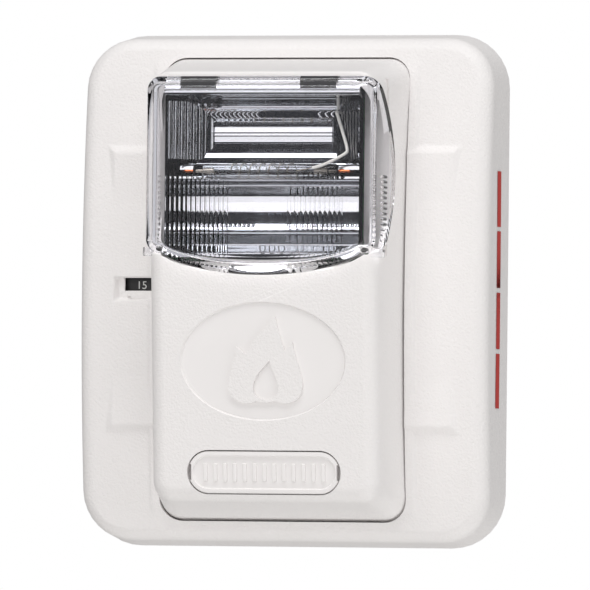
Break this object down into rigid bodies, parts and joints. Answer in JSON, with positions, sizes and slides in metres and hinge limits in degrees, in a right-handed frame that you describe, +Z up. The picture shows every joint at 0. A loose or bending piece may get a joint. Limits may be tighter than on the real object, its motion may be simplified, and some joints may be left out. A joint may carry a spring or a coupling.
{
  "type": "horn strobe",
  "caption": "Wall-mounted fire alarm horn strobe: domed off-white cover, clear strobe lens over a chrome reflector, snap-in blank nameplate, head hinged on a base plate.",
  "frame": {"origin": "centre of the mounting plate's back, in the wall plane", "axes": "+Z up, +X to the right as seen from the front, the front faces -Y, the wall is the plane y = 0"},
  "size_m": [0.1196, 0.044, 0.1426],
  "materials": {
    "off_white_plastic": "fine pebble grain, moulded",
    "grey_plastic": "fine matte, moulded",
    "black_plastic": "matte, moulded",
    "white_plastic": "satin, moulded",
    "red_plastic": "satin, moulded",
    "clear_lens": "clear polycarbonate, polished with prism ribs",
    "tube_glass": "clear drawn glass",
    "chrome_reflector": "vacuum metallised mirror",
    "white_sleeve": "smooth insulation",
    "black_sleeve": "shrunk sleeve",
    "copper": "enamelled copper wire",
    "brass": "stamped, bright",
    "plated_steel": "zinc plated",
    "ferrite": "sintered, matte",
    "ceramic": "silvered ceramic",
    "board_green": "solder mask"
  },
  "bodies": {
    "base": {"mounting_plate": "grey_plastic", "screw_bushing": "brass", "terminal_block": "black_plastic", "terminal_plate_1": "brass", "terminal_plate_2": "brass", "terminal_plate_3": "brass", "terminal_plate_4": "brass"},
    "head": {"faceplate": "off_white_plastic", "front_housing": "off_white_plastic", "lens": "clear_lens", "reflector": "chrome_reflector", "flash_tube": "tube_glass", "anode_lead": "copper", "cathode_lead": "copper", "trigger_wire": "white_sleeve", "flash_capacitor": "black_sleeve", "trigger_coil": "copper", "inductor": "ferrite", "main_board": "board_green", "rear_cover": "grey_plastic", "sounder_body": "black_plastic", "sounder_cap": "black_plastic", "piezo_disc": "brass", "piezo_ceramic": "ceramic", "retaining_washer": "plated_steel", "option_switch": "red_plastic", "board_screw_1": "plated_steel", "rear_screw_1": "plated_steel", "contact_spring_1": "brass", "board_screw_2": "plated_steel", "rear_screw_2": "plated_steel", "contact_spring_2": "brass", "board_screw_3": "plated_steel", "rear_screw_3": "plated_steel", "contact_spring_3": "brass", "board_screw_4": "plated_steel", "rear_screw_4": "plated_steel", "contact_spring_4": "brass"},
    "nameplate": {"nameplate_cover": "off_white_plastic"},
    "captive_screw": {"captive_screw": "plated_steel"},
    "candela_slide": {"candela_selector": "black_plastic"},
    "terminal_screw_1": {"terminal_screw_1": "plated_steel"},
    "terminal_screw_2": {"terminal_screw_2": "plated_steel"},
    "terminal_screw_3": {"terminal_screw_3": "plated_steel"},
    "terminal_screw_4": {"terminal_screw_4": "plated_steel"},
    "option_slider_1": {"option_slider_1": "white_plastic"},
    "option_slider_2": {"option_slider_2": "white_plastic"},
    "option_slider_3": {"option_slider_3": "white_plastic"}
  },
  "joints": [
    {"name": "head_tilt", "type": "hinge", "parent": "base", "child": "head", "pos_m": [0, 0, 0.0712], "axis": [-1, 0, 0], "range_deg": [0, 20]},
    {"name": "nameplate_snap", "type": "slide", "parent": "head", "child": "nameplate", "axis": [0, -1, 0], "range_m": [0, 0.008]},
    {"name": "captive_screw_turn", "type": "hinge", "parent": "head", "child": "captive_screw", "pos_m": [0, 0, -0.051], "axis": [0, -1, 0], "continuous": true},
    {"name": "candela_select", "type": "slide", "parent": "head", "child": "candela_slide", "axis": [0, 0, -1], "range_m": [0, 0.016]},
    {"name": "terminal_screw_1_turn", "type": "hinge", "parent": "base", "child": "terminal_screw_1", "pos_m": [-0.01125, 0, -0.0065], "axis": [0, -1, 0], "continuous": true},
    {"name": "terminal_screw_2_turn", "type": "hinge", "parent": "base", "child": "terminal_screw_2", "pos_m": [-0.00375, 0, -0.0065], "axis": [0, -1, 0], "continuous": true},
    {"name": "terminal_screw_3_turn", "type": "hinge", "parent": "base", "child": "terminal_screw_3", "pos_m": [0.00375, 0, -0.0065], "axis": [0, -1, 0], "continuous": true},
    {"name": "terminal_screw_4_turn", "type": "hinge", "parent": "base", "child": "terminal_screw_4", "pos_m": [0.01125, 0, -0.0065], "axis": [0, -1, 0], "continuous": true},
    {"name": "option_1_slide", "type": "slide", "parent": "head", "child": "option_slider_1", "axis": [0, 0, 1], "range_m": [0, 0.0026]},
    {"name": "option_2_slide", "type": "slide", "parent": "head", "child": "option_slider_2", "axis": [0, 0, 1], "range_m": [0, 0.0026]},
    {"name": "option_3_slide", "type": "slide", "parent": "head", "child": "option_slider_3", "axis": [0, 0, 1], "range_m": [0, 0.0026]}
  ]
}
